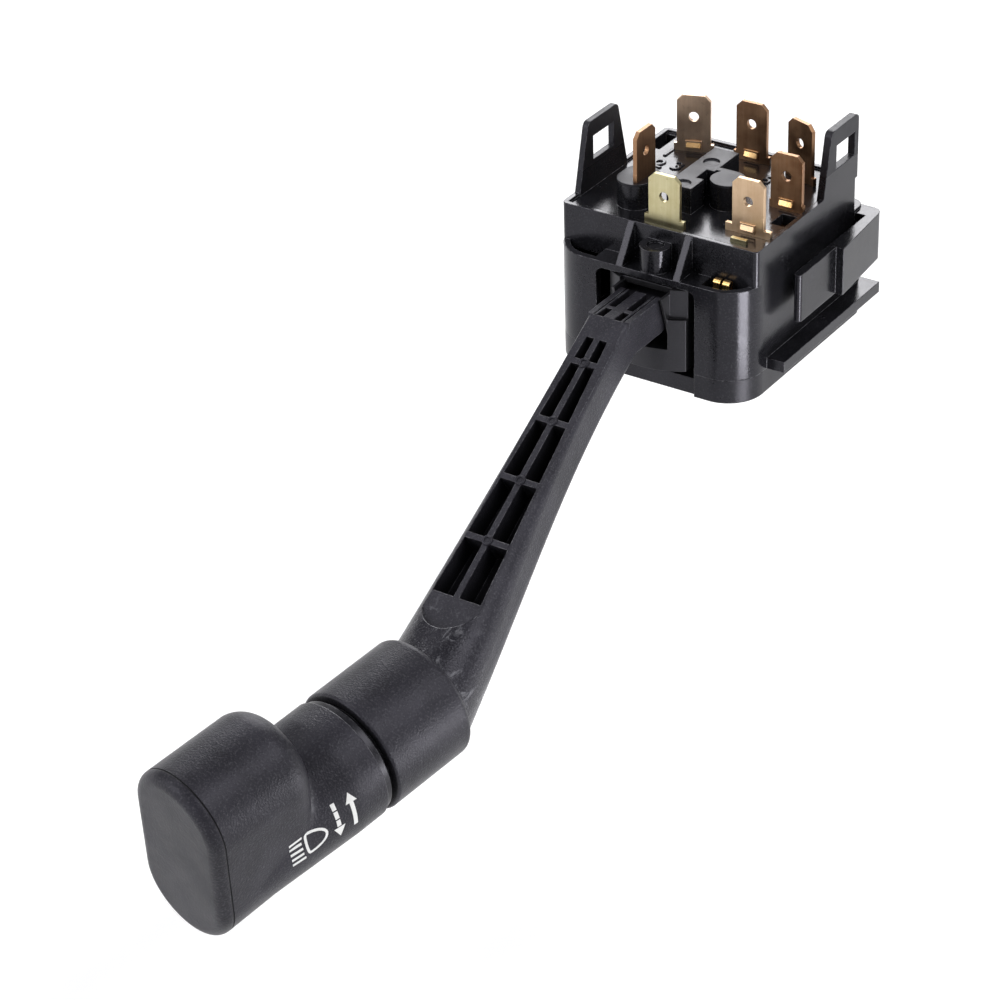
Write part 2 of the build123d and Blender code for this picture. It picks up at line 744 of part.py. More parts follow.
# Turn carrier: rotor between two trunnions, slotted for the lever, with an arm behind
left_x = turn_x - carrier_width / 2
right_x = turn_x + carrier_width / 2
carrier_nose = carrier_front - carrier_crown
with BuildPart() as turn_carrier:
    with BuildSketch(Plane.XY.offset(carrier_bottom)):
        with BuildLine():
            ThreePointArc((left_x, carrier_front), (turn_x, carrier_nose), (right_x, carrier_front))
            Line((right_x, carrier_front), (right_x, carrier_back))
            Line((right_x, carrier_back), (left_x, carrier_back))
            Line((left_x, carrier_back), (left_x, carrier_front))
        make_face()
    extrude(amount=carrier_top - carrier_bottom)
    # Set-back upper half of the front
    with BuildSketch(Plane.XY.offset(carrier_step_height)):
        with BuildLine():
            ThreePointArc((left_x, carrier_front), (turn_x, carrier_nose), (right_x, carrier_front))
            Line((right_x, carrier_front), (right_x, carrier_front + carrier_step))
            ThreePointArc((right_x, carrier_front + carrier_step),
                          (turn_x, carrier_nose + carrier_step),
                          (left_x, carrier_front + carrier_step))
            Line((left_x, carrier_front + carrier_step), (left_x, carrier_front))
        make_face()
    extrude(amount=carrier_top - carrier_step_height, mode=Mode.SUBTRACT)
    # Slot for the lever, closed behind by the curved detent track
    with BuildSketch(Plane.YZ.offset(turn_x)):
        with BuildLine():
            slot_mouth = carrier_nose - body_gap
            slot_top = carrier_top + body_gap
            track_top = dip_y + math.sqrt(track_radius**2 - (slot_top - dip_height) ** 2)
            track_low = dip_y + math.sqrt(track_radius**2 - (dip_height - slot_floor) ** 2)
            Line((slot_mouth, slot_floor), (track_low, slot_floor))
            ThreePointArc((track_low, slot_floor), (dip_y + track_radius, dip_height), (track_top, slot_top))
            Line((track_top, slot_top), (slot_mouth, slot_top))
            Line((slot_mouth, slot_top), (slot_mouth, slot_floor))
        make_face()
        with Locations((turn_y + (bridge_back - bridge_front) / 2, (slot_roof + slot_top) / 2)):
            Rectangle(bridge_front + bridge_back, slot_top - slot_roof, mode=Mode.SUBTRACT)
    extrude(amount=slot_width / 2, both=True, mode=Mode.SUBTRACT)
    # Cheeks either side of the lever, leaning forward out of the slot
    with BuildSketch(Plane.YZ.offset(turn_x - slot_width / 2)) as cheek:
        with BuildLine():
            Polyline(
                (carrier_front - cheek_foot, cheek_bottom),
                (carrier_front - cheek_reach, cheek_top),
                (carrier_front + cheek_root, cheek_top),
                (carrier_front + cheek_root, cheek_bottom),
                close=True,
            )
        make_face()
    extrude(amount=cheek_thickness)
    with BuildSketch(Plane.YZ.offset(turn_x + slot_width / 2)):
        add(cheek.sketch_local)
    extrude(amount=-cheek_thickness)
    # Room behind the lever's tail for the beam rocker's finger
    with BuildSketch(Plane.XY.offset(tail_top - finger_room_drop)):
        with Locations((turn_x, carrier_back - finger_room_wall - track_radius / 2)):
            Rectangle(slot_width, track_radius)
    extrude(amount=carrier_top, mode=Mode.SUBTRACT)
    # Dip detent notches for rest and main beam
    for tilt in (0, dip_range):
        with BuildSketch(Plane.YZ.offset(turn_x)):
            notch_reach = dip_tip_reach - dip_tip_radius + dip_plunger_stroke
            with Locations((dip_y + notch_reach * math.cos(math.radians(tilt)),
                            dip_height - notch_reach * math.sin(math.radians(tilt)))):
                Circle(dip_tip_radius + notch_clearance)
        extrude(amount=slot_width / 2, both=True, mode=Mode.SUBTRACT)
    # Arm behind, rising to carry the turn contact
    with BuildSketch(Plane.YZ.offset(turn_x)):
        with BuildLine():
            Polyline(
                (carrier_back, arm_bottom),
                (arm_end, arm_bottom),
                (arm_end, arm_top),
                (arm_end - riser_depth, arm_top),
                (arm_end - riser_depth, arm_bottom + arm_depth),
                (carrier_back, arm_bottom + arm_depth),
                close=True,
            )
        make_face()
    extrude(amount=arm_width / 2, both=True)
    # Trunnions
    with BuildSketch(Plane.XY.offset(carrier_bottom)):
        with Locations((turn_x, turn_y)):
            Circle(trunnion_radius)
    extrude(amount=-lower_trunnion_length)
    with BuildSketch(Plane.XY.offset(slot_roof)):
        with Locations((turn_x, turn_y)):
            Circle(trunnion_radius)
    extrude(amount=ledge_ceiling + trunnion_length - body_gap - slot_roof)
    # Bore for the dip pin
    with BuildSketch(Plane.YZ.offset(turn_x)):
        with Locations((dip_y, dip_height)):
            Circle(dip_pin_radius + part_fit)
    extrude(amount=carrier_width, both=True, mode=Mode.SUBTRACT)
    # Bore for the turn plunger
    with BuildSketch(Plane.XZ.offset(-arm_end)):
        with Locations((turn_x, turn_plunger_height)):
            Circle(turn_plunger_radius + sliding_fit)
    extrude(amount=plunger_bore_depth, mode=Mode.SUBTRACT)
    # Bore for the contact's stud and spring
    with BuildSketch(Plane.XY.offset(arm_top)):
        with Locations((turn_x, arm_end - riser_depth / 2)):
            Circle(stud_radius + running_fit)
    extrude(amount=-stud_bore_depth, mode=Mode.SUBTRACT)
turn_carrier.part.label = "turn_carrier"
export_step(turn_carrier.part, "parts/turn_carrier.step")


# Turn detent: cam insert with three notches on an arc about the turn axis
with BuildPart() as turn_detent_cam:
    with BuildSketch(Plane.XY.offset(floor_plate)):
        with Locations((turn_x, cam_back - cam_thickness / 2)):
            Rectangle(cam_width, cam_thickness)
        with Locations((turn_x, turn_y)):
            Circle(turn_tip_reach + body_gap, mode=Mode.SUBTRACT)
    extrude(amount=cam_top - floor_plate)
    with BuildSketch(Plane.XY.offset(turn_plunger_height - notch_height / 2)):
        with Locations((turn_x, turn_y)):
            with PolarLocations(turn_tip_reach + turn_plunger_stroke - turn_tip_radius, 3,
                                start_angle=90 - turn_range, angular_range=2 * turn_range, endpoint=True):
                Circle(turn_tip_radius + notch_clearance)
    extrude(amount=notch_height, mode=Mode.SUBTRACT)
    with BuildSketch(Plane.XY.offset(cam_top)):
        with Locations((turn_x, pawl_y)):
            Circle(pawl_pin_radius + part_fit)
    extrude(amount=-pawl_pin_seat, mode=Mode.SUBTRACT)
turn_detent_cam.part.label = "turn_detent_cam"
export_step(turn_detent_cam.part, "parts/turn_detent_cam.step")


def plunger(name, height, tip_y, length, radius, tip_radius):
    """A round plunger along Y whose nose narrows to a ball-shaped tip."""
    with BuildPart() as pin:
        with BuildSketch(Plane(origin=(turn_x, tip_y, height), x_dir=(1, 0, 0), z_dir=(0, 0, 1))):
            with BuildLine():
                Line((0, 0), (0, -length))
                Line((0, -length), (radius, -length))
                Line((radius, -length), (radius, -tip_radius - nose_length))
                Line((radius, -tip_radius - nose_length), (tip_radius, -tip_radius))
                RadiusArc((tip_radius, -tip_radius), (0, 0), -tip_radius)
            make_face()
        revolve(axis=Axis((turn_x, tip_y, height), (0, 1, 0)))
    pin.part.label = name
    export_step(pin.part, f"parts/{name}.step")


plunger("turn_detent_plunger", turn_plunger_height, turn_tip_y,
        turn_plunger_length, turn_plunger_radius, turn_tip_radius)
plunger("dip_detent_plunger", dip_height, dip_tip_y,
        dip_plunger_length, dip_plunger_radius, dip_tip_radius)


def coil(name, base, coil_radius, length):
    """A short compression spring that stands on the base plane."""
    with BuildPart() as spring:
        with BuildLine() as turns:
            Helix(spring_pitch, length - spring_wire, coil_radius, center=base.origin, direction=base.z_dir)
        start = turns.wires()[0]
        with BuildSketch(Plane(origin=start @ 0, z_dir=start % 0)):
            Rectangle(spring_wire, spring_wire)
        sweep(path=start, is_frenet=True)
    spring.part.label = name
    export_step(spring.part, f"parts/{name}.step")


# Springs behind the two plungers and under the turn contact
turn_bore_end = arm_end - plunger_bore_depth
coil("turn_detent_spring",
     Plane(origin=(turn_x, turn_bore_end + spring_wire / 2, turn_plunger_height), z_dir=(0, 1, 0)),
     turn_plunger_radius - spring_wire, turn_tip_y - turn_plunger_length - turn_bore_end)
dip_bore_end = dip_y + tail_reach - dip_bore_depth
coil("dip_detent_spring",
     Plane(origin=(turn_x, dip_bore_end + spring_wire / 2, dip_height), z_dir=(0, 1, 0)),
     dip_plunger_radius - spring_wire, dip_tip_y - dip_plunger_length - dip_bore_end)
contact_y = arm_end - riser_depth / 2
contact_top = turn_foot_height - body_gap
contact_bottom = contact_top - contact_dome_height - contact_plate
coil("turn_contact_spring",
     Plane(origin=(turn_x, contact_y, arm_top + spring_wire / 2), z_dir=(0, 0, 1)),
     stud_radius + spring_wire + spring_clearance, contact_bottom - arm_top)

# Turn contact: brass bridge on a stud that slides in the arm's riser
with BuildPart() as turn_contact_bridge:
    with BuildSketch(Plane.XY.offset(contact_bottom)):
        with Locations((turn_x, contact_y)):
            RectangleRounded(contact_width, contact_depth, 1.0)
    extrude(amount=contact_plate)
    with BuildSketch(Plane.XY.offset(contact_bottom)):
        with Locations((turn_x, contact_y)):
            Circle(stud_radius)
    extrude(amount=-stud_length)
    with BuildSketch(Plane.XY.offset(contact_bottom + contact_plate)):
        with Locations((turn_x, contact_y)):
            with GridLocations(contact_width - 2 * contact_dome_inset, 0, 2, 1):
                Circle(contact_dome_radius)
    extrude(amount=contact_dome_height, taper=contact_dome_taper)
turn_contact_bridge.part.label = "turn_contact_bridge"
export_step(turn_contact_bridge.part, "parts/turn_contact_bridge.step")

# Pin that the lever dips on, held in the carrier
with BuildPart() as dip_pivot_pin:
    with BuildSketch(Plane.YZ.offset(turn_x)):
        with Locations((dip_y, dip_height)):
            Circle(dip_pin_radius)
    extrude(amount=carrier_width / 2 - dip_pin_inset, both=True)
    chamfer(edges().filter_by(GeomType.CIRCLE), dip_pin_chamfer)
dip_pivot_pin.part.label = "dip_pivot_pin"
export_step(dip_pivot_pin.part, "parts/dip_pivot_pin.step")


# Lever arm
slope = math.radians(arm_slope)


def across_arm(along, rise, shift=0):
    """Plane square to the sloping arm: how far along from the first rib, above its flat, and sideways."""
    return Plane(
        origin=(
            turn_x + shift,
            first_rib_y - along * math.cos(slope) - rise * math.sin(slope),
            first_rib_z - along * math.sin(slope) + rise * math.cos(slope),
        ),
        x_dir=(1, 0, 0),
        z_dir=(0, -math.cos(slope), -math.sin(slope)),
    )


flat = Plane(
    origin=(turn_x, first_rib_y, first_rib_z),
    x_dir=(1, 0, 0),
    z_dir=(0, -math.sin(slope), math.cos(slope)),
)
bend_y = first_rib_y + (bar_top - first_rib_z) / math.tan(slope)
bend_along = (first_rib_y - bend_y) / math.cos(slope)
bend_depth = bar_depth / math.cos(slope)
knob_axis = Vector(0, -1, 0).rotate(Axis.X, knob_drop).rotate(Axis.Z, -knob_yaw)
knob_side = Vector(1, 0, 0).rotate(Axis.Z, -knob_yaw)
knob_line = Axis((knob_x, knob_y, knob_z), knob_axis)


def across_knob(along):
    """Plane square to the knob's axis, a distance from the collar's back face."""
    return Plane(origin=Vector(knob_x, knob_y, knob_z) + knob_axis * along, x_dir=knob_side, z_dir=knob_axis)


with BuildPart() as lever_arm:
    # Sloping arm, swelling from the bend to the round neck
    with BuildSketch(across_arm(bend_along, -bend_depth / 2)):
        RectangleRounded(bar_width, bend_depth, bar_round)
    with BuildSketch(across_arm(mid_along, mid_crown - mid_depth / 2)):
        RectangleRounded(mid_width, mid_depth, mid_round)
    with BuildSketch(across_arm(far_along, far_crown - far_depth / 2, far_shift)):
        RectangleRounded(far_width, far_depth, far_round)
    with BuildSketch(across_knob(0)):
        with Locations((neck_shift, 0)):
            RectangleRounded(2 * neck_radius, 2 * neck_radius, neck_radius - neck_flat / 2)
    loft()
    # Flat top face with a half-round end
    with BuildSketch(flat):
        with BuildLine():
            Line((-pad_width / 2, -far_along), (-pad_width / 2, pad_overrun - bend_along))
            Line((-pad_width / 2, pad_overrun - bend_along), (pad_width / 2, pad_overrun - bend_along))
            Line((pad_width / 2, pad_overrun - bend_along), (pad_width / 2, -far_along))
            EllipticalCenterArc((0, -far_along), pad_width / 2, pad_length, start_angle=180, arc_size=180)
        make_face()
    extrude(amount=far_depth, mode=Mode.SUBTRACT)
    # Pockets between the long rib and the cross ribs
    with BuildSketch(flat):
        with BuildLine():
            Polyline(
                (-pocket_start_width / 2, pocket_start),
                (pocket_start_width / 2, pocket_start),
                (pocket_end_width / 2, -pocket_end),
                (-pocket_end_width / 2, -pocket_end),
                close=True,
            )
        make_face()
        with Locations((0, (pocket_start - pocket_end) / 2)):
            Rectangle(pocket_rib, pocket_end + pocket_start, mode=Mode.SUBTRACT)
        with Locations((0, -rib_pitch * (rib_count - 1) / 2)):
            with GridLocations(0, rib_pitch, 1, rib_count):
                Rectangle(2 * pocket_end_width, pocket_rib, mode=Mode.SUBTRACT)
                Circle(crossing_radius, mode=Mode.SUBTRACT)
    extrude(amount=-pocket_depth, mode=Mode.SUBTRACT)
    # Straight bar that enters the base, with two grooves on top
    with BuildSketch(Plane.YZ.offset(turn_x)):
        with BuildLine():
            tail_front = bend_y + bar_length
            tail_back = dip_y + tail_reach
            Polyline(
                (bend_y, bar_bottom),
                (bend_y, bar_top),
                (tail_front, bar_top),
                (tail_front, tail_top),
                (tail_back, tail_top),
                (tail_back, tail_bottom),
                (tail_front, tail_bottom),
                (tail_front, bar_bottom),
                close=True,
            )
        make_face()
    extrude(amount=bar_width / 2, both=True)
    with BuildSketch(Plane.XY.offset(bar_top)):
        with Locations((turn_x, (bend_y + tail_front) / 2)):
            with GridLocations(groove_spacing, 0, 2, 1):
                Rectangle(groove_width, bar_length)
        with Locations((turn_x, bend_y + groove_web_setback)):
            Rectangle(bar_width, groove_web, mode=Mode.SUBTRACT)
    extrude(amount=-groove_depth, mode=Mode.SUBTRACT)
    with BuildSketch(Plane.XY.offset(bar_top)):
        with Locations((turn_x, (bend_y + tail_front) / 2)):
            with GridLocations(bar_width - 2 * line_inset, 0, 2, 1):
                Rectangle(line_width, bar_length)
    extrude(amount=-line_depth, mode=Mode.SUBTRACT)
    # Bore for the dip pin and bore for the dip plunger
    with BuildSketch(Plane.YZ.offset(turn_x)):
        with Locations((dip_y, dip_height)):
            Circle(dip_pin_radius + running_fit)
    extrude(amount=bar_width, both=True, mode=Mode.SUBTRACT)
    with BuildSketch(Plane.XZ.offset(-tail_back)):
        with Locations((turn_x, dip_height)):
            Circle(dip_plunger_radius + sliding_fit)
    extrude(amount=dip_bore_depth, mode=Mode.SUBTRACT)
    # Spigot that carries the knob
    with BuildSketch(across_knob(-spigot_root)):
        Circle(spigot_radius)
    extrude(amount=spigot_root + collar_length + spigot_length)
lever_arm.part.label = "lever_arm"
export_step(lever_arm.part, "parts/lever_arm.step")

# Knob collar, pushed on the spigot up to the neck
with BuildPart() as knob_collar:
    with BuildSketch(across_knob(0)):
        Circle(collar_radius)
        Circle(spigot_radius + sliding_fit, mode=Mode.SUBTRACT)
    extrude(amount=collar_length)
    back_rim = faces().sort_by(knob_line)[0].outer_wire().edges()
    fillet(back_rim, collar_back_round)
    front_rim = faces().sort_by(knob_line)[-1].outer_wire().edges()
    fillet(front_rim, collar_front_round)
knob_collar.part.label = "knob_collar"
export_step(knob_collar.part, "parts/knob_collar.step")

# Bright washer between collar and grip
with BuildPart() as knob_ring:
    with BuildSketch(across_knob(collar_length)):
        Circle(ring_hub_radius)
        Circle(spigot_radius + sliding_fit, mode=Mode.SUBTRACT)
    extrude(amount=knob_groove - ring_thickness)
    with BuildSketch(across_knob(collar_length + knob_groove - ring_thickness)):
        Circle(ring_radius)
        Circle(spigot_radius + sliding_fit, mode=Mode.SUBTRACT)
    extrude(amount=ring_thickness)
knob_ring.part.label = "knob_ring"
export_step(knob_ring.part, "parts/knob_ring.step")

# Grip: a round body that runs into a taller paddle
grip_start = collar_length + knob_groove
paddle_side = paddle_reach / 2 * math.sin(math.radians(paddle_tilt))
paddle_foot = paddle_reach / 2 * math.cos(math.radians(paddle_tilt))
with BuildPart() as knob_grip:
    with BuildSketch(across_knob(paddle_start)):
        with Locations((paddle_shift, paddle_rise)):
            SlotCenterToCenter(paddle_root_reach, paddle_root_width, rotation=90 - paddle_tilt)
    with BuildSketch(across_knob(grip_end)):
        with Locations((paddle_shift, paddle_rise)):
            SlotCenterToCenter(paddle_reach, paddle_width, rotation=90 - paddle_tilt)
    loft()
    back_face = faces().sort_by(knob_line)[0]
    fillet(back_face.edges(), paddle_back_round)
    with BuildSketch(across_knob(grip_start)):
        Circle(grip_radius)
    extrude(amount=grip_taper_start - grip_start)
    with BuildSketch(across_knob(grip_taper_start)):
        Circle(grip_radius)
    with BuildSketch(across_knob(grip_end)):
        with Locations((paddle_shift - paddle_side, paddle_rise - paddle_foot)):
            Circle(grip_toe_radius)
    loft()
    # Bore for the spigot and recess for the end cap's plug
    with BuildSketch(across_knob(grip_start)):
        Circle(spigot_radius + sliding_fit)
    extrude(amount=grip_bore_depth, mode=Mode.SUBTRACT)
    with BuildSketch(across_knob(grip_end)):
        with Locations((paddle_shift, paddle_rise)):
            SlotCenterToCenter(paddle_reach, plug_width + 2 * part_fit, rotation=90 - paddle_tilt)
    extrude(amount=-plug_depth - part_fit, mode=Mode.SUBTRACT)
knob_grip.part.label = "knob_grip"
export_step(knob_grip.part, "parts/knob_grip.step")

# End cap that closes the grip
with BuildPart() as knob_end_cap:
    with BuildSketch(across_knob(grip_end)):
        with Locations((paddle_shift, paddle_rise)):
            SlotCenterToCenter(paddle_reach, paddle_width, rotation=90 - paddle_tilt)
    extrude(amount=cap_thickness)
    front_face = faces().sort_by(knob_line)[-1]
    fillet(front_face.edges(), cap_edge)
    with BuildSketch(across_knob(grip_end)):
        with Locations((paddle_shift, paddle_rise)):
            SlotCenterToCenter(paddle_reach, plug_width, rotation=90 - paddle_tilt)
    extrude(amount=-plug_depth)
knob_end_cap.part.label = "knob_end_cap"
export_step(knob_end_cap.part, "parts/knob_end_cap.step")


# Beam rocker: hub on its pin, wings behind and a finger that rests on the lever's tail
with BuildPart() as beam_rocker:
    with BuildSketch(Plane.YZ.offset(turn_x)):
        with Locations((rocker_y, rocker_height)):
            Circle(rocker_hub_radius)
    extrude(amount=rocker_width / 2, both=True)
    with BuildSketch(Plane.XY.offset(rocker_height - rocker_plate / 2)):
        with Locations((turn_x, rocker_y + rocker_rear / 2)):
            Rectangle(rocker_width, rocker_rear)
        with Locations(((rocker_right - rocker_left) / 2, rocker_y + rocker_rear - rocker_wing / 2)):
            Rectangle(rocker_left + rocker_right, rocker_wing)
    extrude(amount=rocker_plate)
    with BuildSketch(Plane.XY.offset(tail_top + body_gap)):
        with Locations((turn_x, rocker_y + finger_setback)):
            Rectangle(finger_width, finger_thickness)
    extrude(amount=rocker_height - tail_top - body_gap)
    with BuildSketch(Plane.YZ.offset(turn_x)):
        with Locations((rocker_y, rocker_height)):
            Circle(rocker_pin_radius + running_fit)
    extrude(amount=rocker_width, both=True, mode=Mode.SUBTRACT)
beam_rocker.part.label = "beam_rocker"
export_step(beam_rocker.part, "parts/beam_rocker.step")

# Pin that the rocker turns on, held in the housing's lugs
with BuildPart() as rocker_pin:
    with BuildSketch(Plane.YZ.offset(turn_x)):
        with Locations((rocker_y, rocker_height)):
            Circle(rocker_pin_radius)
    extrude(amount=rocker_width / 2 + body_gap + lug_width, both=True)
rocker_pin.part.label = "rocker_pin"
export_step(rocker_pin.part, "parts/rocker_pin.step")

# Brass strip on top of the rocker's wings
with BuildPart() as beam_contact_bridge:
    with BuildSketch(Plane.XY.offset(rocker_height + rocker_plate / 2)):
        with Locations(((rocker_right - rocker_left) / 2, rocker_y + bridge_setback)):
            Rectangle(rocker_left + rocker_right - 2 * bridge_inset, bridge_depth)
    extrude(amount=bridge_plate)
beam_contact_bridge.part.label = "beam_contact_bridge"
export_step(beam_contact_bridge.part, "parts/beam_contact_bridge.step")

# Self-cancelling pawl that reaches out of the back wall
with BuildPart() as cancel_pawl:
    with BuildSketch(Plane.XY.offset(pawl_height)):
        with Locations((turn_x, pawl_y)):
            Circle(pawl_eye_radius)
        with Locations((turn_x, pawl_y + pawl_reach)):
            Circle(pawl_nose_radius)
        make_hull()
        with Locations((turn_x, pawl_y)):
            Circle(pawl_pin_radius + running_fit, mode=Mode.SUBTRACT)
    extrude(amount=pawl_thickness)
cancel_pawl.part.label = "cancel_pawl"
export_step(cancel_pawl.part, "parts/cancel_pawl.step")

# Pin that the pawl turns on, from the cam insert up to the back ledge
with BuildPart() as cancel_pawl_pin:
    with BuildSketch(Plane.XY.offset(cam_top - pawl_pin_seat)):
        with Locations((turn_x, pawl_y)):
            Circle(pawl_pin_radius)
    extrude(amount=ledge_ceiling + pawl_pin_head - cam_top + pawl_pin_seat)
cancel_pawl_pin.part.label = "cancel_pawl_pin"
export_step(cancel_pawl_pin.part, "parts/cancel_pawl_pin.step")
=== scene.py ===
"""Combination stalk switch: finishes, printed signs, raised numbers, stage, lamps and camera."""
import json
import math
import bmesh
import bpy
from mathutils import Euler, Matrix, Vector
from mathutils.bvhtree import BVHTree


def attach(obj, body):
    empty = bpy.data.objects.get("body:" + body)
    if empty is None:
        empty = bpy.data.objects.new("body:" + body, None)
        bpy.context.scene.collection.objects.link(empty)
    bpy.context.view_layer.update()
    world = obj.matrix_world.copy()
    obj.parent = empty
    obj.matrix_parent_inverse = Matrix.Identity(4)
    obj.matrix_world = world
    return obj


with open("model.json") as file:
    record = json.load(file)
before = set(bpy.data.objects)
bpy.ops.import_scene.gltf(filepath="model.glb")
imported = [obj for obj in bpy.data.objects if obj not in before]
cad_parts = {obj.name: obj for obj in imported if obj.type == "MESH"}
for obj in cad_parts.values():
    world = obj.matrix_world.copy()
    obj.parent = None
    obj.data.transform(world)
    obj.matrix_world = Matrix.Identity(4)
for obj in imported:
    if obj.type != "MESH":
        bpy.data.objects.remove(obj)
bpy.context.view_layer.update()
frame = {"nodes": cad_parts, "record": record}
nodes = frame["nodes"]
scene = bpy.context.scene

# Blender's lengths are in metres. Places on the grip, the deck and the arm are written in
# millimetres, and turned into metres where they are used
MM = 0.001
# Points of a mesh that are nearer than this to each other, in millimetres, become one
WELD = 0.001

# Sockets of a Mix node that mixes colours
FACTOR, FIRST_COLOUR, SECOND_COLOUR, MIXED_COLOUR = 0, 6, 7, 2
BEVEL_SAMPLES = 8
SHELTER_SAMPLES = 6
# How well a rounded normal agrees with the plain one on an edge, and where the edge ends
EDGE_TURN = (0.80, 0.99)


class Finish:
    """A node material: one Principled shader and short ways to add the nodes in front of it."""

    def __init__(self, name, **constants):
        """constants are sockets of the shader, written with _ for a space, and their values."""
        self.material = bpy.data.materials.new(name)
        self.material.use_nodes = True
        self.tree = self.material.node_tree
        self.shader = self.tree.nodes["Principled BSDF"]
        self.place = self.node("ShaderNodeTexCoord").outputs["Object"]
        for socket, value in constants.items():
            self.feed(socket.replace("_", " "), value)

    def node(self, kind, inputs=None, **settings):
        """A new node with these settings, and with links or values in these inputs."""
        made = self.tree.nodes.new(kind)
        for key, value in settings.items():
            setattr(made, key, value)
        for socket, value in (inputs or {}).items():
            self.put(made, socket, value)
        return made

    def put(self, made, socket, value):
        """Links an output into a node's socket, or sets a plain value there."""
        target = made.inputs[socket]
        if isinstance(value, bpy.types.NodeSocket):
            self.tree.links.new(value, target)
        elif target.type == "RGBA":
            target.default_value = (*value, 1.0)
        else:
            target.default_value = value

    def feed(self, socket, value):
        self.put(self.shader, socket, value)

    def noise(self, scale, detail=2.0, rough=0.5, stretch=(1, 1, 1), warp=0.0):
        """Noise with that many cells to the metre, drawn out where stretch is below 1."""
        spread = self.node("ShaderNodeMapping", {"Vector": self.place, "Scale": stretch})
        made = self.node("ShaderNodeTexNoise", {
            "Vector": spread.outputs[0], "Scale": scale, "Detail": detail,
            "Roughness": rough, "Distortion": warp})
        return made.outputs["Fac"]

    def span(self, value, low, high, first, last):
        """Maps low..high to first..last, held at the ends."""
        made = self.node("ShaderNodeMapRange", {
            "Value": value, "From Min": low, "From Max": high, "To Min": first, "To Max": last})
        return made.outputs["Result"]

    def calc(self, operation, *values):
        made = self.node("ShaderNodeMath", dict(enumerate(values)), operation=operation)
        return made.outputs[0]

    def dot(self, first, second):
        made = self.node("ShaderNodeVectorMath", {0: first, 1: second}, operation="DOT_PRODUCT")
        return made.outputs["Value"]

    def mix(self, factor, first, second):
        made = self.node("ShaderNodeMix", {
            FACTOR: factor, FIRST_COLOUR: first, SECOND_COLOUR: second}, data_type="RGBA")
        return made.outputs[MIXED_COLOUR]

    def rounding(self, radius):
        """The normal with its edges rounded by that radius."""
        made = self.node("ShaderNodeBevel", {"Radius": radius}, samples=BEVEL_SAMPLES)
        return made.outputs[0]

    def edges(self, rounded):
        """1 on the edges that rounding reaches, 0 on plain surfaces."""
        plain = self.node("ShaderNodeNewGeometry").outputs["Normal"]
        return self.span(self.dot(rounded, plain), *EDGE_TURN, 1.0, 0.0)

    def shelter(self, distance, normal):
        """How open a place is: 0 deep in a pocket, 1 where nothing is near."""
        made = self.node("ShaderNodeAmbientOcclusion", {"Distance": distance, "Normal": normal},
                         samples=SHELTER_SAMPLES)
        return made.outputs["AO"]

    def height(self, direction):
        """How far a point of the object lies along that direction, in metres."""
        return self.dot(self.place, direction)

    def between(self, distance, start, end):
        """Rises from 0 to 1 across start and falls back across end, two pairs of distances."""
        return self.calc("MULTIPLY", self.span(distance, *start, 0, 1),
                         self.span(distance, *end, 1, 0))

    def line_at(self, distance, where, half):
        """1 within a half width of that distance, 0 beside it."""
        off = self.calc("ABSOLUTE", self.calc("SUBTRACT", distance, where))
        return self.span(off, half * 0.6, half, 1.0, 0.0)

    def bump(self, height, depth, normal):
        made = self.node("ShaderNodeBump", {
            "Strength": 1.0, "Distance": depth, "Height": height, "Normal": normal})
        return made.outputs[0]


# The knob's own frame: the middle of the collar's back, the axis from there to the end cap,
# the grip's right side and its upper side
KNOB_PLACE = Vector((1.01, -94.99, -24.22)) * MM
KNOB_AXIS = Vector((-0.19705, -0.96724, -0.16004)).normalized()
KNOB_SIDE = Vector((0.97992, -0.19937, 0)).normalized()
KNOB_UP = KNOB_AXIS.cross(KNOB_SIDE).normalized()

# Places along that axis. Each pair is a stretch over which a mark fades in or out
COLLAR_BACK = KNOB_PLACE.dot(KNOB_AXIS)
NECK_START = (COLLAR_BACK - 13.0 * MM, COLLAR_BACK - 6.0 * MM)
NECK_END = (COLLAR_BACK - 0.5 * MM, COLLAR_BACK)
BLEND_START = (COLLAR_BACK + 21.0 * MM, COLLAR_BACK + 23.0 * MM)
BLEND_END = (COLLAR_BACK + 44.0 * MM, COLLAR_BACK + 48.0 * MM)
CAP_JOINT = COLLAR_BACK + 51.85 * MM

BLEND_RADIUS = 2.4 * MM
JOINT_HALF = 0.17 * MM
JOINT_DEPTH = 0.25 * MM
POCKET_DEPTH = 5.0 * MM
NECK_POLISH = 0.13
SCUFF_TONE = (0.22, 0.22, 0.24)
# Paler tone of the edges: worn chips, and a painted highlight along the rounded edges
EDGE_WEAR_AND_HIGHLIGHT = (0.20, 0.20, 0.215)
# Colour of the painted shade deep in the lever's pockets
POCKET_PAINTED_SHADE = (0.0015, 0.0015, 0.002)
JOINT_TONE = (0.002, 0.002, 0.002)
VIOLET = (0.90, 0.88, 1.0)

# Scales of noise, in cells to the metre
DRIFT = 90
HANDLING = 160
SCUFFING = 520
CHIPPING = 700
CLOUDS = 230
SPOTTING = 900
STREAKS = 1500
ROLLING = 2600


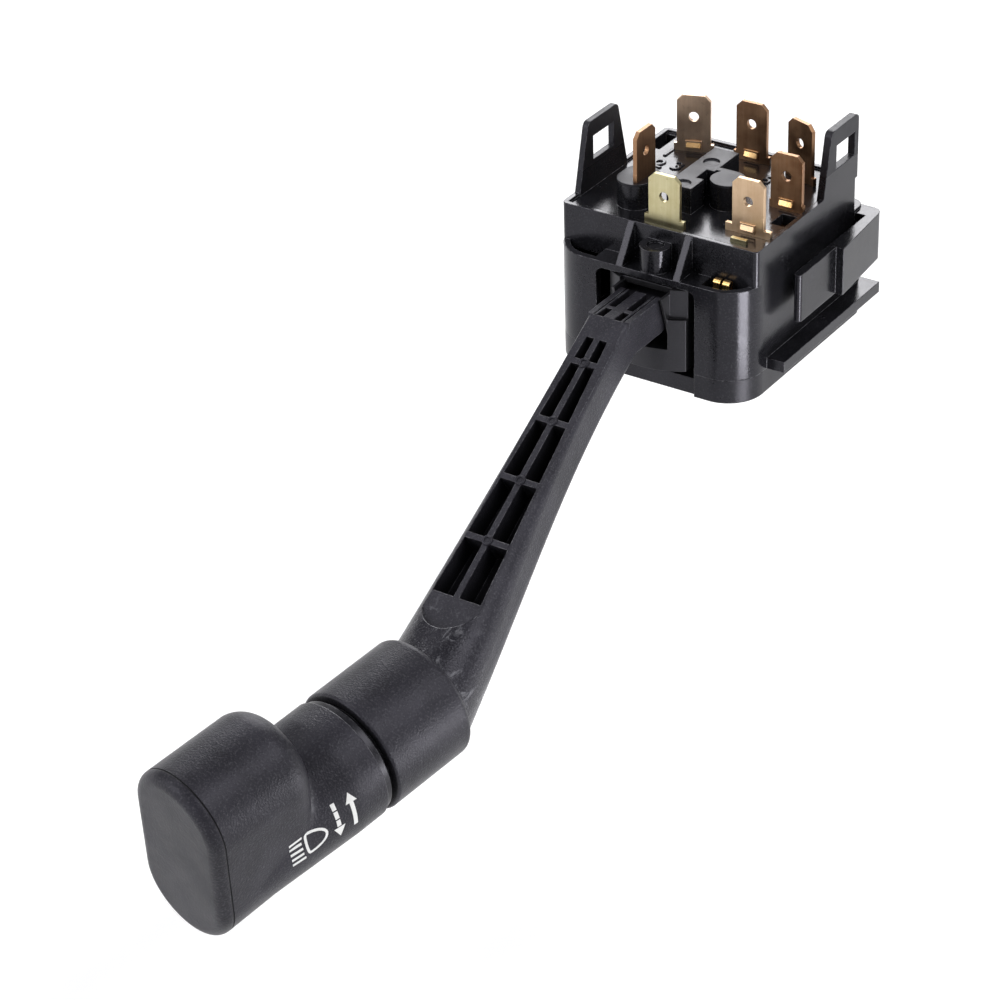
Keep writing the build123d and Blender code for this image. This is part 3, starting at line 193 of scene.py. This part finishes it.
def knob_marks(made, rounded, colour, roughness, surface):
    """Adds the neck's polish and scuffs, painted shade in the pockets and the end cap's joint
    line.
    """
    along = made.height(KNOB_AXIS)
    neck = made.between(along, NECK_START, NECK_END)
    scuffs = made.noise(SCUFFING, 6, 0.75, (1, 0.35, 1), 0.6)
    scuffed = made.calc("MULTIPLY", neck, made.span(scuffs, 0.57, 0.67, 0, 0.6))
    colour = made.mix(scuffed, colour, SCUFF_TONE)
    roughness = made.calc("SUBTRACT", roughness, made.calc("MULTIPLY", neck, NECK_POLISH))

    # Painted shade: places sheltered by nearby parts, deep in the pockets, are darkened in colour
    openness = made.shelter(POCKET_DEPTH, rounded)
    colour = made.mix(made.span(openness, 0.25, 0.75, 1, 0), colour, POCKET_PAINTED_SHADE)
    roughness = made.calc("ADD", roughness, made.span(openness, 0.2, 0.6, 0.35, 0))

    joint = made.line_at(along, CAP_JOINT, JOINT_HALF)
    colour = made.mix(joint, colour, JOINT_TONE)
    roughness = made.calc("ADD", roughness, made.span(joint, 0, 1, 0, 0.4))
    surface = made.bump(made.span(joint, 0, 1, 1, 0), JOINT_DEPTH, surface)
    return colour, roughness, surface


def moulded(name, dark, light, rough, level, grain, grain_depth, grain_tone, grain_share,
            wave, wave_depth, edge_wear_and_highlight, radius, matt=(), knob=False):
    """Black moulded plastic: tone drift, fine grain, slow waves, and edges made paler, partly by
    wear and partly as a painted highlight.

    dark and light are the two ends of the tone, rough those of the roughness, and level is the
    specular level. grain and wave are scales of noise, each with its depth in the surface, and
    grain_share says how much of grain_tone shows. The amount after wave_depth says how pale the
    edges are, partly from wear and partly as a painted highlight, and radius how round. matt lists
    places that are rougher: a direction, where they begin and end along it, and how much. knob
    adds what only the lever has: the wide blend of the paddle into the grip, and the knob's marks,
    with painted shade in its pockets.
    """
    made = Finish(name, Specular_IOR_Level=level, Specular_Tint=VIOLET)
    if knob:
        blend = made.between(made.height(KNOB_AXIS), BLEND_START, BLEND_END)
        radius = made.span(blend, 0, 1, radius, BLEND_RADIUS)
    rounded = made.rounding(radius)

    drift = made.noise(DRIFT, 4, 0.6)
    speckle = made.noise(grain, 2, 0.65)
    colour = made.mix(made.span(drift, 0.35, 0.7, 0, 1), dark, light)
    colour = made.mix(made.span(speckle, 0.52, 0.72, 0, grain_share), colour, grain_tone)
    # Edges are paler: partly chips of wear, partly a painted highlight along the rounded edges
    chips = made.span(made.noise(CHIPPING, 3, 0.7), 0.42, 0.62, 0, edge_wear_and_highlight)
    chipped_and_highlit = made.calc("MULTIPLY", made.edges(rounded), chips)
    colour = made.mix(chipped_and_highlit, colour, EDGE_WEAR_AND_HIGHLIGHT)

    handled = made.span(made.noise(HANDLING, 5, 0.65), 0.3, 0.75, *rough)
    roughness = made.calc("ADD", handled, made.span(speckle, 0.3, 0.7, -0.04, 0.04))
    for direction, start, end, amount in matt:
        place = made.span(made.height(direction), start, end, 0, amount)
        roughness = made.calc("ADD", roughness, place)

    surface = made.bump(made.noise(wave, 2, 0.5), wave_depth, rounded)
    if knob:
        colour, roughness, surface = knob_marks(made, rounded, colour, roughness, surface)
    made.feed("Base Color", colour)
    made.feed("Roughness", made.calc("ADD", roughness, made.span(chipped_and_highlit, 0, 1, 0, 0.08)))
    made.feed("Normal", made.bump(speckle, grain_depth, surface))
    return made


SHEARED_RADIUS = 0.08 * MM
ROLLING_DEPTH = 0.004 * MM


def stamped(name, deep, bright, rough, tarnish):
    """Rolled sheet metal: rolling lines, tarnish in clouds and streaks, brighter sheared edges."""
    made = Finish(name, Metallic=1.0)
    rounded = made.rounding(SHEARED_RADIUS)
    lines = made.noise(ROLLING, 3, 0.6, (1, 1, 0.04))
    streaks = made.noise(STREAKS, 3, 0.6, (1, 1, 0.05))
    clouds = made.noise(CLOUDS, 5, 0.65)

    tone = made.calc("ADD", made.span(clouds, 0.32, 0.68, 0, 0.65),
                     made.span(streaks, 0.35, 0.65, 0, 0.35))
    colour = made.mix(tone, deep, bright)
    spots = made.span(made.noise(SPOTTING, 4, 0.7), 0.60, 0.78, 0, 0.75)
    colour = made.mix(spots, colour, tarnish)
    sheared = made.calc("MULTIPLY", made.edges(rounded), 0.5)
    made.feed("Base Color", made.mix(sheared, colour, bright))
    made.feed("Roughness", made.calc("ADD", made.span(clouds, 0.3, 0.7, *rough),
                                     made.span(lines, 0.3, 0.7, -0.04, 0.04)))
    made.feed("Normal", made.bump(lines, ROLLING_DEPTH, rounded))
    return made


# The base's raised tops and its cover below the seam are rougher than the rest
UP = (0.0, 0.0, 1.0)
DOWN = (0.0, 0.0, -1.0)
BLOCK_TOP = 33.0 * MM
COVER_SEAM = 4.5 * MM
base_matt = [
    (UP, BLOCK_TOP, BLOCK_TOP + 0.2 * MM, 0.22),
    (DOWN, -COVER_SEAM, -COVER_SEAM + 0.1 * MM, 0.12),
]

# Finishes of the record's material slots
finishes = {
    "base_plastic": moulded(
        "glossy_black", dark=(0.005, 0.005, 0.006), light=(0.013, 0.013, 0.016),
        rough=(0.15, 0.27), level=0.31,
        grain=2800, grain_depth=0.012 * MM, grain_tone=(0.10, 0.10, 0.11), grain_share=0.16,
        wave=260, wave_depth=0.014 * MM, edge_wear_and_highlight=0.8, radius=0.22 * MM, matt=base_matt),
    "lever_plastic": moulded(
        "grained_black", dark=(0.011, 0.0106, 0.014), light=(0.026, 0.025, 0.032),
        rough=(0.33, 0.45), level=0.26,
        grain=2800, grain_depth=0.085 * MM, grain_tone=(0.13, 0.13, 0.145), grain_share=0.30,
        wave=150, wave_depth=0.014 * MM, edge_wear_and_highlight=0.9, radius=0.30 * MM, knob=True),
    "inner_plastic": moulded(
        "inner_black", dark=(0.008, 0.008, 0.009), light=(0.014, 0.014, 0.015),
        rough=(0.30, 0.42), level=0.38,
        grain=3000, grain_depth=0.010 * MM, grain_tone=(0.04, 0.04, 0.04), grain_share=0.2,
        wave=220, wave_depth=0.008 * MM, edge_wear_and_highlight=0.3, radius=0.16 * MM),
    "copper_tab": stamped(
        "copper_tab", deep=(0.235, 0.122, 0.064), bright=(0.40, 0.24, 0.14),
        rough=(0.34, 0.48), tarnish=(0.16, 0.08, 0.045)),
    "yellow_brass": stamped(
        "yellow_brass", deep=(0.41, 0.355, 0.19), bright=(0.56, 0.515, 0.32),
        rough=(0.34, 0.46), tarnish=(0.28, 0.23, 0.11)),
    "steel": stamped(
        "turned_steel", deep=(0.42, 0.42, 0.43), bright=(0.62, 0.62, 0.63),
        rough=(0.22, 0.34), tarnish=(0.2, 0.19, 0.18)),
}

# Metal that is cleaner or redder than the rest of its slot, and the nodes that are made of it
clean_copper = stamped("clean_copper", deep=(0.55, 0.37, 0.225), bright=(0.71, 0.53, 0.355),
                       rough=(0.34, 0.46), tarnish=(0.42, 0.26, 0.14))
used_copper = stamped("used_copper", deep=(0.66, 0.46, 0.33), bright=(0.86, 0.65, 0.48),
                      rough=(0.36, 0.48), tarnish=(0.42, 0.28, 0.18))
bare_copper = stamped("bare_copper", deep=(0.72, 0.42, 0.16), bright=(0.90, 0.62, 0.32),
                      rough=(0.22, 0.36), tarnish=(0.5, 0.26, 0.10))
spring_bronze = stamped("spring_bronze", deep=(0.60, 0.36, 0.12), bright=(0.85, 0.58, 0.26),
                        rough=(0.20, 0.34), tarnish=(0.36, 0.18, 0.06))
own_finish = {
    "terminal_dipped_beam": clean_copper,
    "terminal_left_turn": used_copper,
    "contact_leaf": spring_bronze,
}

for subpart in frame["record"]["subparts"]:
    name = subpart["node"]
    finish = own_finish.get(name, finishes[subpart["material_slot"]])
    nodes[name].data.materials.clear()
    nodes[name].data.materials.append(finish.material)

INK_RADIUS = 0.05 * MM
INK_GRAIN_DEPTH = 0.004 * MM
ink = Finish("printed_white", Specular_IOR_Level=0.3)
ink.feed("Base Color", ink.mix(ink.noise(1500, 3, 0.6), (0.90, 0.90, 0.89), (0.80, 0.80, 0.79)))
ink.feed("Roughness", ink.span(ink.noise(2600), 0.3, 0.7, 0.45, 0.6))
ink.feed("Normal", ink.bump(ink.noise(3600), INK_GRAIN_DEPTH, ink.rounding(INK_RADIUS)))


def object_from(name, work, finish):
    """A new object in the scene, with its mesh from a bmesh and its finish."""
    mesh = bpy.data.meshes.new(name)
    work.to_mesh(mesh)
    work.free()
    mesh.materials.append(finish.material)
    made = bpy.data.objects.new(name, mesh)
    scene.collection.objects.link(made)
    return made


def piece_from(name, work, finish, body):
    """A new piece of the object, which rides on a CAD body. Ink has a finish but no slot."""
    piece = object_from(name, work, finish)
    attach(piece, body)


# The signs are printed on the grip's right side. A place there is written in millimetres, as
# the distance from the collar's back along the knob's axis and the height above the axis
INK_TOP = 0.03 * MM
INK_ROOT = -0.02 * MM
INK_LONGEST_EDGE = 0.5
INK_CUTS = 3
OUTSIDE_GRIP = 30
grip_mesh = nodes["knob_grip"].data
grip_surface = BVHTree.FromPolygons([v.co for v in grip_mesh.vertices],
                                    [p.vertices for p in grip_mesh.polygons])


def onto_grip(along, up, lift):
    """The point of the grip's right side at that place, lifted off by a little."""
    start = (KNOB_PLACE + KNOB_AXIS * along * MM + KNOB_UP * up * MM
             + KNOB_SIDE * OUTSIDE_GRIP * MM)
    spot, normal, _, _ = grip_surface.ray_cast(start, -KNOB_SIDE)
    return spot + normal * lift


def printed(name, outlines):
    """A sign printed on the grip: flat outlines, cut small and laid on the surface as a film."""
    flat = bmesh.new()
    for outline in outlines:
        flat.faces.new([flat.verts.new((along, up, 0)) for along, up in outline])
    bmesh.ops.triangulate(flat, faces=flat.faces[:])
    for _ in range(INK_CUTS):
        long_edges = [e for e in flat.edges if e.calc_length() > INK_LONGEST_EDGE]
        bmesh.ops.subdivide_edges(flat, edges=long_edges, cuts=1, use_grid_fill=False)
        bmesh.ops.triangulate(flat, faces=flat.faces[:])
    bmesh.ops.remove_doubles(flat, verts=flat.verts[:], dist=WELD)
    flat.verts.index_update()

    film = bmesh.new()
    root, top = ([film.verts.new(onto_grip(v.co.x, v.co.y, lift)) for v in flat.verts]
                 for lift in (INK_ROOT, INK_TOP))
    for face in flat.faces:
        corners = [v.index for v in face.verts]
        film.faces.new([top[k] for k in corners])
        film.faces.new([root[k] for k in reversed(corners)])
    for edge in flat.edges:
        if edge.is_boundary:
            start, end = (v.index for v in edge.verts)
            film.faces.new((root[start], root[end], top[end], top[start]))
    flat.free()
    bmesh.ops.recalc_face_normals(film, faces=film.faces[:])
    piece_from(name, film, ink, "lever")


def following(items):
    """The item after each one, where the first comes after the last."""
    return items[1:] + items[:1]


def bar(left, right, bottom, top):
    return [(left, bottom), (right, bottom), (right, top), (left, top)]


def arrow_head(middle, half, base, tip):
    return [(middle - half, base), (middle + half, base), (middle, tip)]


def bow(along, depth, up, half, angles):
    """Half an ellipse with that half height, which bulges by that depth along the axis."""
    return [(along + depth * math.cos(math.radians(angle)),
             up + half * math.sin(math.radians(angle))) for angle in angles]


def stroke(points, width):
    """Quads that follow a closed line with that width."""
    sides = []
    for before, point, after in zip(points[-1:] + points[:-1], points, following(points)):
        run = Vector(after) - Vector(before)
        across = Vector((-run.y, run.x)).normalized() * width / 2
        sides.append((Vector(point) + across, Vector(point) - across))
    return [[outer, next_outer, next_inner, inner]
            for (outer, inner), (next_outer, next_inner) in zip(sides, following(sides))]


# The lamp sign's five light rays. The lamp's front bulges towards the middle three
RAY_START = 39.62
RAY_END = 36.95
RAY_SHORTER = 0.25
RAY_TOP = 1.38
RAY_PITCH = 1.04
RAY_HALF = 0.24
RAYS = 5
rays = []
for k in range(RAYS):
    middle = RAY_TOP - RAY_PITCH * k
    end = RAY_END + (RAY_SHORTER if 0 < k < RAYS - 1 else 0.0)
    rays.append(bar(RAY_START, end, middle - RAY_HALF, middle + RAY_HALF))
printed("sign_lamp_rays", rays)

# The lamp itself: a domed reflector and its slightly bulging front
LAMP_MIDDLE = -0.45
LAMP_HALF = 1.9
LAMP_LINE = 0.48
dome = bow(36.0, -3.55, LAMP_MIDDLE, LAMP_HALF, range(-84, 85, 12))
front = bow(36.02, 0.42, LAMP_MIDDLE, LAMP_HALF, range(80, -81, -20))
printed("sign_lamp_body", stroke(dome + front, LAMP_LINE))

# The dashed arrow that points down and the plain arrow that points up
DOWN_PLACE = 30.0
DOWN_HALF = 0.39
DASHES = [(3.6, 2.35), (2.1, 0.72), (0.45, -0.78)]
printed("sign_arrow_down", [
    *(bar(DOWN_PLACE - DOWN_HALF, DOWN_PLACE + DOWN_HALF, start, end) for start, end in DASHES),
    arrow_head(DOWN_PLACE, 1.1, -1.0, -3.05),
])

UP_PLACE = 26.85
UP_HALF = 0.38
UP_FOOT = -2.62
UP_NECK = 2.15
printed("sign_arrow_up", [
    bar(UP_PLACE - UP_HALF, UP_PLACE + UP_HALF, UP_FOOT, UP_NECK),
    arrow_head(UP_PLACE, 1.08, UP_NECK, 3.95),
])

# Blades with a lance pressed out of the sheet at their foot: place on the deck, turn in degrees
# and the lance's finish
DECK_FLOOR = 28.5
SHEET_FACE = 0.4
LANCES = {
    "terminal_left_turn": (-10.85, 13.2, 19.0, bare_copper),
    "terminal_flasher_feed": (0.4, 14.9, 0.0, bare_copper),
    "terminal_right_turn": (11.85, 12.4, -19.0, bare_copper),
    "terminal_main_beam": (15.65, 0.55, 0.0, bare_copper),
    "terminal_dipped_beam": (14.6, -11.25, 0.0, clean_copper),
}
# Its half width, how high above the deck it begins and ends, and how far out it stands there
LANCE_HALF = 1.35
LANCE_TOP, LANCE_BOTTOM = 2.25, 0.95
LANCE_TOP_PROUD, LANCE_BOTTOM_PROUD = 0.12, 0.62
LANCE_BEVEL = 0.08 * MM
# A box's corners are listed back, front, each round from the upper left
BOX_FACES = ((0, 3, 2, 1), (4, 5, 6, 7), (0, 1, 5, 4), (1, 2, 6, 5), (2, 3, 7, 6), (3, 0, 4, 7))


def lance(name, x, y, angle, finish):
    """The tongue at a blade's foot: a wedge that leans out towards its lower edge."""
    corners = []
    for top_proud, bottom_proud in ((0.0, 0.0), (LANCE_TOP_PROUD, LANCE_BOTTOM_PROUD)):
        corners += [(-LANCE_HALF, -top_proud, LANCE_TOP), (LANCE_HALF, -top_proud, LANCE_TOP),
                    (LANCE_HALF, -bottom_proud, LANCE_BOTTOM),
                    (-LANCE_HALF, -bottom_proud, LANCE_BOTTOM)]
    turned = Euler((0, 0, math.radians(angle))).to_matrix()
    work = bmesh.new()
    spots = [work.verts.new(turned @ Vector((across, out - SHEET_FACE, 0)) * MM
                            + Vector((x, y, DECK_FLOOR + up)) * MM) for across, out, up in corners]
    for face in BOX_FACES:
        work.faces.new([spots[k] for k in face])
    bmesh.ops.recalc_face_normals(work, faces=work.faces[:])
    bmesh.ops.bevel(work, geom=work.edges[:], offset=LANCE_BEVEL, segments=2, affect="EDGES")
    piece_from(name + "_lance", work, finish, "base")


for name, row in LANCES.items():
    lance(name, *row)

# Ejector pin marks where the lever's ribs cross: small rings that stand on the arm's slope
FIRST_CROSSING = Vector((0.5, -43.2, 14.13))
CROSSING_PITCH = 12.2
CROSSINGS = 4
SLOPE = math.radians(31.8)
DOWN_ARM = Vector((0, -math.cos(SLOPE), -math.sin(SLOPE)))
OFF_ARM = Vector((0, -math.sin(SLOPE), math.cos(SLOPE)))
# The ring's section, as radius and height above the ribs, and the steps round it
MARK_SECTION = [(1.0, -0.2), (1.0, 0.16), (0.86, 0.26), (0.66, 0.26), (0.52, 0.12), (0.5, -0.12)]
MARK_STEPS = 24


def pin_mark(name, centre):
    """A turned ring with that centre."""
    work = bmesh.new()
    rows = []
    for k in range(MARK_STEPS):
        around = math.tau * k / MARK_STEPS
        across = Vector((math.cos(around), 0, 0)) + DOWN_ARM * math.sin(around)
        rows.append([work.verts.new((centre + across * radius + OFF_ARM * height) * MM)
                     for radius, height in MARK_SECTION])
    for here, after in zip(rows, following(rows)):
        for corners in zip(here, after, following(after), following(here)):
            work.faces.new(corners)
    bmesh.ops.recalc_face_normals(work, faces=work.faces[:])
    for face in work.faces:
        face.smooth = True
    piece_from(name, work, finishes["lever_plastic"], "lever")


for k in range(CROSSINGS):
    pin_mark(f"lever_pin_mark_{k + 1}", FIRST_CROSSING + DOWN_ARM * CROSSING_PITCH * k)

# Plain numbers moulded on the deck's floor
NUMBER_SIZE = 4.6 * MM
NUMBER_HEIGHT = 0.08 * MM
NUMBER_ROUND = 0.16 * MM
NUMBER_THINNER = 0.06 * MM
NUMBER_SEAT = DECK_FLOOR + 0.02
NUMBER_PLACES = [(-14.4, 10.0), (-13.4, 5.0), (-10.0, 5.8), (-4.0, 12.6), (6.8, 8.8),
                 (12.4, 3.6), (9.6, -9.0)]


def raised_number(text, x, y):
    curve = bpy.data.curves.new("number", "FONT")
    curve.body = text
    curve.size = NUMBER_SIZE
    curve.extrude = NUMBER_HEIGHT
    curve.bevel_depth = NUMBER_ROUND
    curve.bevel_resolution = 2
    curve.offset = -NUMBER_THINNER
    curve.align_x = "CENTER"
    curve.align_y = "CENTER"
    source = bpy.data.objects.new("number_source", curve)
    scene.collection.objects.link(source)
    bpy.context.view_layer.update()
    work = bmesh.new()
    work.from_mesh(source.to_mesh())
    bpy.data.objects.remove(source)
    bmesh.ops.remove_doubles(work, verts=work.verts[:], dist=WELD * MM)
    for vertex in work.verts:
        vertex.co += Vector((x, y, NUMBER_SEAT)) * MM
    piece_from("deck_number_" + text, work, finishes["base_plastic"], "base")


for number, (x, y) in enumerate(NUMBER_PLACES, 1):
    raised_number(str(number), x, y)

# The stage's white: paper that also glows for the rays that show the background. The lamps
# reach less of it far from the object, so it glows more there
NEAR, FAR = 0.5, 2.2
NEAR_GLOW, FAR_GLOW = 0.26, 0.85
paper = Finish("floor_white", Base_Color=(0.9, 0.9, 0.9), Roughness=0.9, Specular_IOR_Level=0.0)
ray = paper.node("ShaderNodeLightPath").outputs
shown = paper.calc("MAXIMUM", paper.calc("MAXIMUM", ray["Is Camera Ray"], ray["Is Glossy Ray"]),
                   ray["Is Transmission Ray"])
away = paper.node("ShaderNodeVectorMath", {0: paper.place}, operation="LENGTH").outputs["Value"]
glow = paper.node("ShaderNodeEmission", {
    "Strength": paper.calc("MULTIPLY", shown, paper.span(away, NEAR, FAR, NEAR_GLOW, FAR_GLOW))})
both = paper.node("ShaderNodeAddShader", {0: paper.shader.outputs[0], 1: glow.outputs[0]})
paper.put(paper.tree.nodes["Material Output"], "Surface", both.outputs[0])

# The floor lies below the lowest reach of the knob. A pale backdrop stands all round, up to a
# little above the horizon
FLOOR_HEIGHT = -0.066
FLOOR_HALF = 6.0
BACKDROP_RADIUS = 5.8
BACKDROP_HEIGHT = 2.0
BACKDROP_SIDES = 96
ground = bmesh.new()
bmesh.ops.create_grid(ground, x_segments=1, y_segments=1, size=FLOOR_HALF)
ring = bmesh.new()
bmesh.ops.create_circle(ring, segments=BACKDROP_SIDES, radius=BACKDROP_RADIUS)
wall = bmesh.ops.extrude_edge_only(ring, edges=ring.edges[:])
for vertex in [v for v in wall["geom"] if isinstance(v, bmesh.types.BMVert)]:
    vertex.co.z += BACKDROP_HEIGHT
for name, work in (("floor", ground), ("backdrop", ring)):
    piece = object_from(name, work, paper)
    piece.location.z = FLOOR_HEIGHT

# The world: a plain dim ceiling above the backdrop
CEILING = (0.30, 0.30, 0.31, 1)
scene.world = bpy.data.worlds.new("studio")
scene.world.use_nodes = True
scene.world.node_tree.nodes["Background"].inputs["Color"].default_value = CEILING


def softbox(name, place, target, size, level):
    """An area lamp that faces its target, as bright as level times a white surface."""
    lamp = bpy.data.lights.new(name, "AREA")
    lamp.shape = "RECTANGLE"
    lamp.size, lamp.size_y = size
    lamp.energy = level * math.pi * lamp.size * lamp.size_y
    made = bpy.data.objects.new(name, lamp)
    made.location = place
    made.rotation_euler = (Vector(place) - Vector(target)).to_track_quat("Z", "Y").to_euler()
    made.visible_camera = False
    scene.collection.objects.link(made)


softbox("lamp_behind", (-0.46, 0.66, 0.46), (0, 0, 0.02), (0.50, 0.34), 7.8)
softbox("lamp_above", (0.62, 0.10, 0.72), (0, -0.05, 0), (0.55, 0.50), 4.6)
softbox("lamp_top", (-0.42, -0.22, 0.80), (0, -0.05, 0), (0.45, 0.45), 2.3)
softbox("lamp_front", (-0.45, -0.72, 0.40), (-0.05, -0.15, -0.03), (0.50, 0.40), 4.6)
# A small one, low beside the base, for the bright line on its rounded corner
softbox("lamp_corner", (0.137, -0.055, -0.046), (0.0184, -0.0196, 0.0135), (0.064, 0.034), 17.0)

# The camera, at the photograph's place. Its focal length was found in the photograph's pixels
SENSOR_WIDTH = 36.0
IMAGE_WIDTH = 1000
FOCAL_LENGTH = 3291
EYE_PLACE = (0.267635, -0.460855, 0.288297)
EYE_RIGHT = Vector((0.83458694, 0.55017754, -0.02773647))
EYE_UP = Vector((-0.26617935, 0.4468367, 0.85409924))
camera = bpy.data.cameras.new("camera")
camera.sensor_width = SENSOR_WIDTH
camera.lens = SENSOR_WIDTH * FOCAL_LENGTH / IMAGE_WIDTH
camera.clip_start = 0.01
eye = bpy.data.objects.new("camera", camera)
eye.location = EYE_PLACE
eye.rotation_euler = Matrix((EYE_RIGHT, EYE_UP, EYE_RIGHT.cross(EYE_UP))).transposed().to_euler()
scene.collection.objects.link(eye)
scene.camera = eye
scene.view_settings.view_transform = "Standard"
